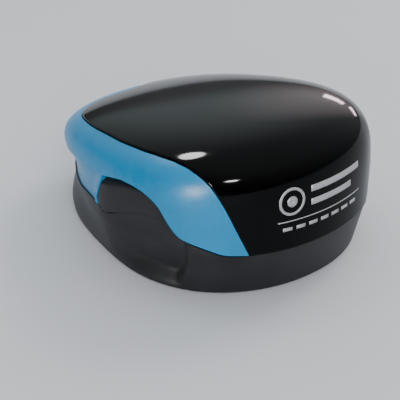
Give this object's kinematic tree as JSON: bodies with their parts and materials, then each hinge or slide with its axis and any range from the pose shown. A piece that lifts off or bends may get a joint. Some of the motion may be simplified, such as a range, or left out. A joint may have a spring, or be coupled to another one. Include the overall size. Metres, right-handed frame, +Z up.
{
  "type": "self inking stamp",
  "caption": "Rounded pocket self-inking stamp: latched cover rises on a telescopic spring frame while a rack turns the round die plate up to the ink pad; side release buttons.",
  "frame": {"origin": "centre of the outline on the surface the stamp stands on", "axes": "+Z up; -Y towards the end that carries the printed face; X across the two release buttons"},
  "size_m": [0.0622, 0.0759, 0.0341],
  "materials": {
    "shell_black": "high gloss",
    "band_blue": "satin",
    "base_black": "matte",
    "frame_grey": "matte",
    "gear_white": "satin",
    "steel": "brushed",
    "spring_steel": "bright drawn",
    "foot_rubber": "matte",
    "die_rubber": "matte",
    "foam": "open cell",
    "pad_felt": "inked felt"
  },
  "bodies": {
    "base": {"base_shell": "base_black", "foot_ring": "foot_rubber", "guide_frame": "frame_grey", "base_screw_1": "steel", "base_screw_2": "steel", "base_screw_3": "steel", "base_screw_4": "steel", "base_post_left": "steel", "base_post_right": "steel", "lower_spring_left": "spring_steel", "lower_spring_right": "spring_steel", "button_leaf_left": "spring_steel", "button_leaf_right": "spring_steel"},
    "left_button": {"side_button_left": "base_black"},
    "right_button": {"side_button_right": "base_black"},
    "slider": {"slider_frame": "frame_grey", "flip_rack_left": "gear_white", "flip_rack_right": "gear_white", "upper_spring_left": "spring_steel", "upper_spring_right": "spring_steel"},
    "cover": {"top_cover": "shell_black", "trim_band": "band_blue", "chassis": "frame_grey", "bearing_arm_left": "frame_grey", "bearing_arm_right": "frame_grey", "cover_post_left": "steel", "cover_post_right": "steel", "chassis_screw_1": "steel", "chassis_screw_2": "steel", "chassis_screw_3": "steel", "chassis_screw_4": "steel"},
    "plate": {"plate_carrier": "gear_white", "plate_axle": "steel", "cushion": "foam", "die_plate": "die_rubber", "flip_pinion_left": "gear_white", "flip_pinion_right": "gear_white"},
    "pad": {"pad_tray": "frame_grey", "ink_pad": "pad_felt"}
  },
  "joints": [
    {"name": "slider_lift", "type": "slide", "parent": "base", "child": "slider", "axis": [0, 0, 1], "range_m": [0, 0.01571], "deforming": ["lower_spring_left", "lower_spring_right"]},
    {"name": "cover_lift", "type": "slide", "parent": "slider", "child": "cover", "axis": [0, 0, 1], "range_m": [0, 0.01571], "deforming": ["upper_spring_left", "upper_spring_right"]},
    {"name": "plate_turn", "type": "hinge", "parent": "cover", "child": "plate", "pos_m": [0, -0.01, 0.0074], "axis": [-1, 0, 0], "range_deg": [0, 180]},
    {"name": "pad_lower", "type": "slide", "parent": "cover", "child": "pad", "axis": [0, 0, -1], "range_m": [0, 0.0085]},
    {"name": "left_button_press", "type": "slide", "parent": "base", "child": "left_button", "axis": [1, 0, 0], "range_m": [0, 0.0012], "stiffness_N_per_m": 1500},
    {"name": "right_button_press", "type": "slide", "parent": "base", "child": "right_button", "axis": [-1, 0, 0], "range_m": [0, 0.0012], "stiffness_N_per_m": 1500}
  ],
  "couplings": [
    {"joint": "slider_lift", "follows": "cover_lift", "ratio": 1},
    {"joint": "plate_turn", "follows": "cover_lift", "rad_per_m": 200}
  ]
}
